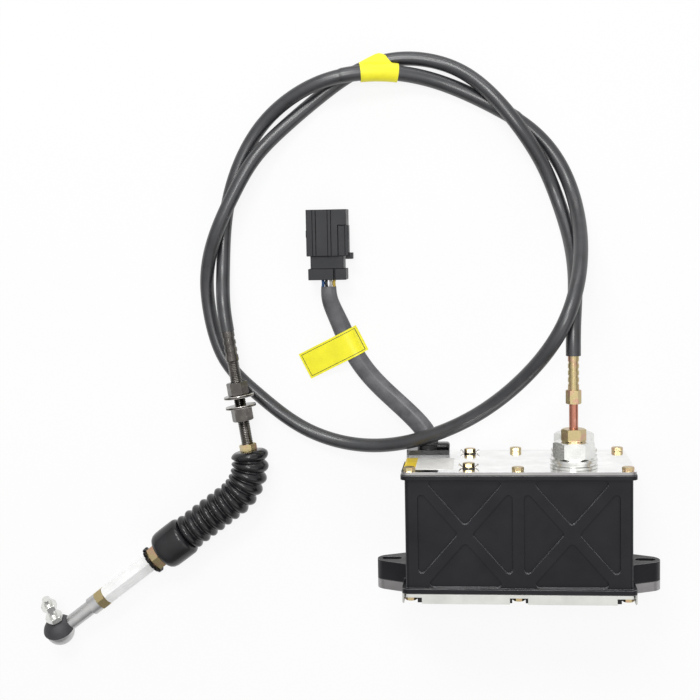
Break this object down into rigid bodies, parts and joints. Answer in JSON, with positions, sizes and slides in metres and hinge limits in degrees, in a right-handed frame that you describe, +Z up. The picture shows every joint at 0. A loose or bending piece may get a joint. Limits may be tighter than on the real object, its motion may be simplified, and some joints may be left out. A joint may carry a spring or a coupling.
{
  "type": "engine_governor_actuator",
  "caption": "Engine governor actuator: ribbed gear housing with slotted ears, coiled push-pull control cable with bellows, rod and ball joint, and a wiring lead with plug",
  "frame": {"origin": "Middle of the footprint of the actuator's body on the table, cable and wiring lead left out", "axes": "The body lies on its back. +X runs along the body from ear to ear, +Y from the base plate to the cable outlets, +Z up through the ribbed front"},
  "size_m": [0.4478, 0.4296, 0.09],
  "materials": {
    "cast_black": "satin charcoal-black cast aluminium",
    "bare_aluminium": "bare sheet and machined edges",
    "gasket": "matt",
    "yellow_zinc": "yellow-passivated zinc plate",
    "bright_zinc": "bright zinc plate",
    "dark_steel": "dark phosphated steel",
    "copper_tube": "coppered steel tube",
    "black_sheath": "satin black sheath",
    "yellow_tag": "plain vinyl",
    "black_rubber": "glossy moulded rubber",
    "bright_rod": "bright drawn hexagon bar",
    "grey_zinc": "dull grey zinc",
    "wires": "coloured wire insulation",
    "dark_plastic": "moulded dark grey plastic",
    "brass": "plain",
    "frame_steel": "folded plate",
    "gear_steel": "cut steel"
  },
  "bodies": {
    "actuator": {"housing": "cast_black", "base_plate": "bare_aluminium", "base_gasket": "gasket", "base_screws": "yellow_zinc", "lid": "bare_aluminium", "lid_gasket": "gasket", "lid_screws": "yellow_zinc", "frame_screws": "yellow_zinc", "frame_washers": "dark_steel", "entry_gland": "bright_zinc", "entry_washers": "bright_zinc", "entry_nut": "bright_zinc", "jam_nut": "yellow_zinc", "guide_tube": "copper_tube", "crimp_ferrule": "yellow_zinc", "blank_plug": "bright_zinc", "plug_washers": "bright_zinc", "plug_nut": "bright_zinc", "cable_conduit": "black_sheath", "cable_tag": "yellow_tag", "end_ferrule": "dark_steel", "bulkhead_hub": "dark_steel", "hub_nuts": "dark_steel", "hub_washers": "dark_steel", "seal_hex": "yellow_zinc", "bellows": "black_rubber", "harness_grommet": "black_rubber", "harness_sleeve": "black_sheath", "harness_wires": "wires", "harness_tag": "yellow_tag", "connector_body": "dark_plastic", "connector_cover": "dark_plastic", "connector_pins": "brass", "gear_frame": "frame_steel", "front_plate": "frame_steel", "frame_posts": "frame_steel", "motor_can": "frame_steel", "motor_end_cap": "dark_plastic", "motor_magnets": "dark_steel", "motor_bushes": "brass", "motor_screws": "bright_zinc", "idler_pin": "gear_steel", "output_bushes": "brass", "sensor_body": "dark_plastic", "guide_rod": "gear_steel"},
    "rotor": {"motor_rotor": "gear_steel"},
    "idler": {"idler_gear": "gear_steel"},
    "output": {"output_gear": "gear_steel"},
    "carriage": {"rack_carriage": "gear_steel", "core_wire": "gear_steel"},
    "rod": {"boot_nut": "yellow_zinc", "boot_washer": "dark_steel", "control_rod": "bright_rod", "lock_nut": "yellow_zinc", "rod_end": "grey_zinc"},
    "cover": {"dust_cover": "black_rubber"},
    "stud": {"ball_stud": "bright_zinc", "stud_nut": "bright_zinc"}
  },
  "joints": [
    {"name": "motor_spin", "type": "hinge", "parent": "actuator", "child": "rotor", "pos_m": [-0.03, -0.012, 0.045], "axis": [0, 0, 1], "range_deg": [-687, 687]},
    {"name": "idler_spin", "type": "hinge", "parent": "actuator", "child": "idler", "pos_m": [-0.006, -0.012, 0.05], "axis": [0, 0, 1], "range_deg": [-172, 172]},
    {"name": "output_spin", "type": "hinge", "parent": "actuator", "child": "output", "pos_m": [0.018, -0.012, 0.06], "axis": [0, 0, 1], "range_deg": [-57.3, 57.3]},
    {"name": "carriage_slide", "type": "slide", "parent": "actuator", "child": "carriage", "axis": [0, 1, 0], "range_m": [-0.012, 0.012]},
    {"name": "rod_slide", "type": "slide", "parent": "actuator", "child": "rod", "axis": [-0.8, -0.6, 0], "range_m": [-0.012, 0.012], "deforming": ["bellows"]},
    {"name": "stud_tilt", "type": "hinge", "parent": "rod", "child": "cover", "pos_m": [-0.33914, -0.10206, 0.0152], "axis": [-0.8, -0.6, 0], "range_deg": [-13, 13]},
    {"name": "stud_spin", "type": "hinge", "parent": "cover", "child": "stud", "pos_m": [-0.33914, -0.10206, 0.0152], "axis": [-0.1193, 0.8488, 0.515], "continuous": true}
  ],
  "couplings": [
    {"joint": "idler_spin", "follows": "motor_spin", "ratio": -0.25},
    {"joint": "output_spin", "follows": "motor_spin", "ratio": 0.083333},
    {"joint": "carriage_slide", "follows": "motor_spin", "m_per_rad": 0.001},
    {"joint": "rod_slide", "follows": "motor_spin", "m_per_rad": 0.001}
  ]
}
